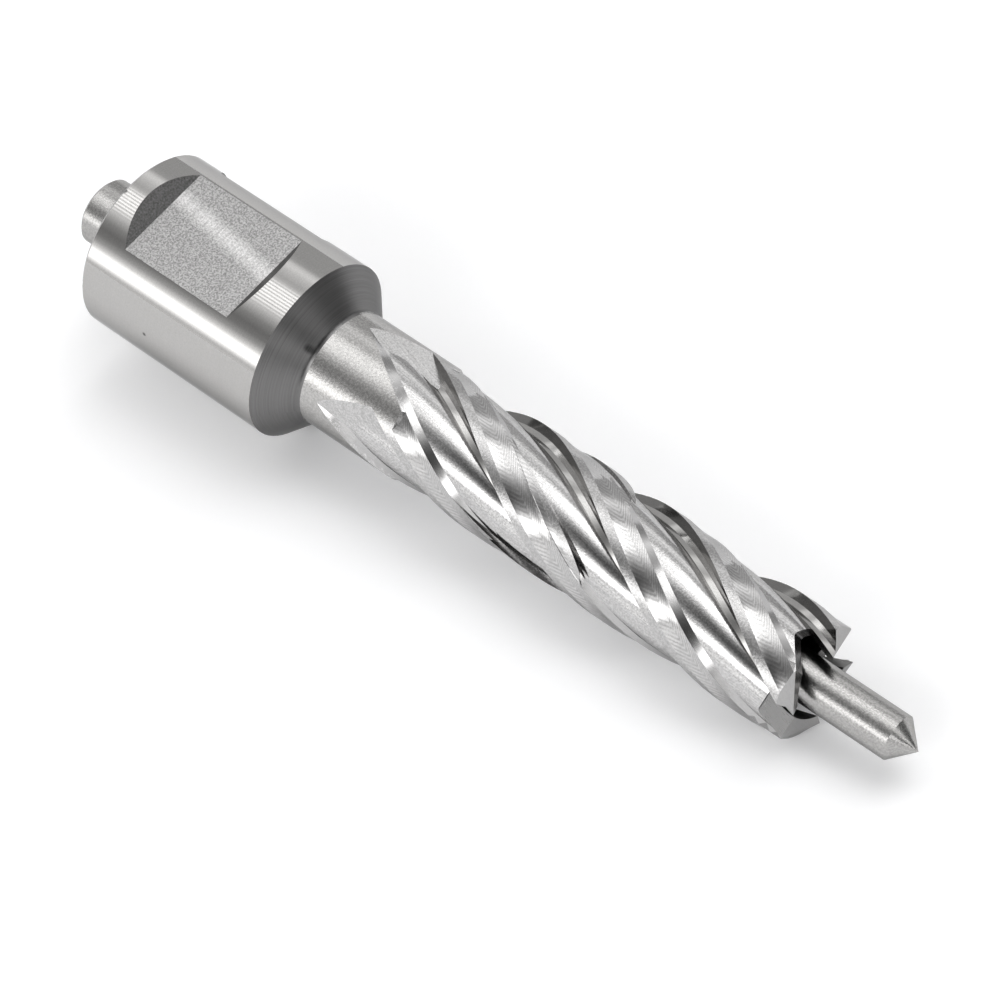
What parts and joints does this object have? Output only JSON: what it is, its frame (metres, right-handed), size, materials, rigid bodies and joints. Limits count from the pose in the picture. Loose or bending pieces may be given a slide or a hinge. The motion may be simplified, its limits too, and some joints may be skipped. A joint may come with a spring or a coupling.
{
  "type": "annular cutter",
  "caption": "Annular cutter with a flatted shank, four right-hand helical flutes, a toothed hollow end and a sliding pilot pin.",
  "frame": {"origin": "on the cutter's axis, at the front rim of the shank where the shoulder begins", "axes": "+X along the axis from the shank to the teeth, +Z out of the first drive flat, +Y out of the second"},
  "size_m": [0.1007, 0.019, 0.019],
  "materials": {
    "ground_steel": "ground high speed steel, bright on the lands, satin on the shank",
    "pin_steel": "fine ground steel with a faint lengthwise grain"
  },
  "bodies": {
    "cutter": {"cutter_body": "ground_steel"},
    "pin": {"pilot_pin": "pin_steel"}
  },
  "joints": [
    {"name": "pin_slide", "type": "slide", "parent": "cutter", "child": "pin", "axis": [-1, 0, 0], "range_m": [0, 0.06]}
  ]
}
